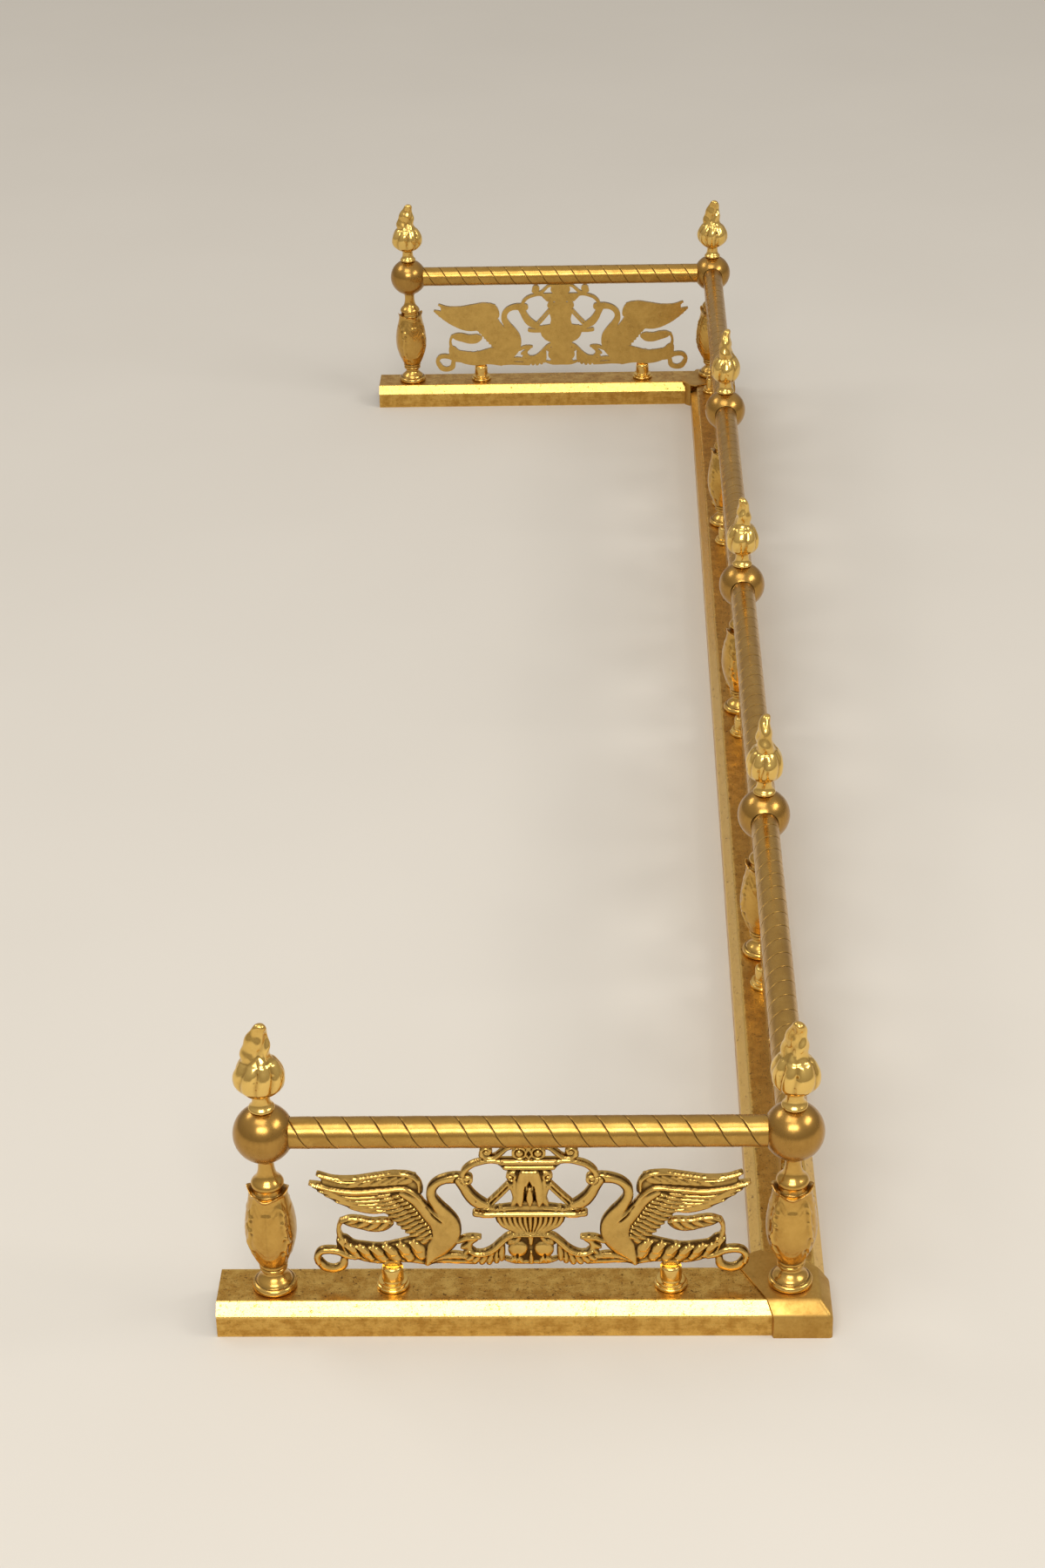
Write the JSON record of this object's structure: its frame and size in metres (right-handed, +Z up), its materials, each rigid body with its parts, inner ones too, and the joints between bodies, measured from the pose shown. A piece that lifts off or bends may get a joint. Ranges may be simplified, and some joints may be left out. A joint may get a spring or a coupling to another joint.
{
  "type": "fire fender",
  "caption": "Brass fire fender with a return at each end: chamfered base, turned posts with ball and flame tops, spiral rails, and pierced castings of swans beside an urn.",
  "frame": {"origin": "on the floor, under the middle of the bounding box", "axes": "+X along the front run, +Y from the room towards the fireplace, +Z up"},
  "size_m": [1.553, 0.3684, 0.2102],
  "materials": {
    "sheet_brass": "aged satin, mottled brown on top",
    "cast_brass": "cast, bright on the high points and brown in the hollows",
    "polished_brass": "polished",
    "satin_brass": "satin",
    "rail_brass": "satin, with incised spiral creases",
    "steel": "plain"
  },
  "bodies": {
    "root": {"base_front": "sheet_brass", "base_return_left": "sheet_brass", "base_return_right": "sheet_brass", "corner_cap_left": "satin_brass", "corner_cap_right": "satin_brass", "corner_plate_left": "steel", "corner_plate_right": "steel", "rail_front_1": "rail_brass", "rail_front_2": "rail_brass", "rail_front_3": "rail_brass", "rail_front_4": "rail_brass", "rail_return_left": "rail_brass", "rail_return_right": "rail_brass", "plaque_front_1": "cast_brass", "plaque_front_2": "cast_brass", "plaque_front_3": "cast_brass", "plaque_front_4": "cast_brass", "plaque_return_left": "cast_brass", "plaque_return_right": "cast_brass", "stud_front_1_a": "polished_brass", "stud_front_1_b": "polished_brass", "stud_front_2_a": "polished_brass", "stud_front_2_b": "polished_brass", "stud_front_3_a": "polished_brass", "stud_front_3_b": "polished_brass", "stud_front_4_a": "polished_brass", "stud_front_4_b": "polished_brass", "stud_return_left_a": "polished_brass", "stud_return_left_b": "polished_brass", "stud_return_right_a": "polished_brass", "stud_return_right_b": "polished_brass", "baluster_1": "cast_brass", "baluster_2": "cast_brass", "baluster_3": "cast_brass", "baluster_4": "cast_brass", "baluster_5": "cast_brass", "baluster_6": "cast_brass", "baluster_7": "cast_brass", "ball_1": "satin_brass", "ball_2": "satin_brass", "ball_3": "satin_brass", "ball_4": "satin_brass", "ball_5": "satin_brass", "ball_6": "satin_brass", "ball_7": "satin_brass", "finial_1": "polished_brass", "finial_2": "polished_brass", "finial_3": "polished_brass", "finial_4": "polished_brass", "finial_5": "polished_brass", "finial_6": "polished_brass", "finial_7": "polished_brass", "tie_bolt_1": "steel", "tie_bolt_2": "steel", "tie_bolt_3": "steel", "tie_bolt_4": "steel", "tie_bolt_5": "steel", "tie_bolt_6": "steel", "tie_bolt_7": "steel"}
  },
  "joints": []
}
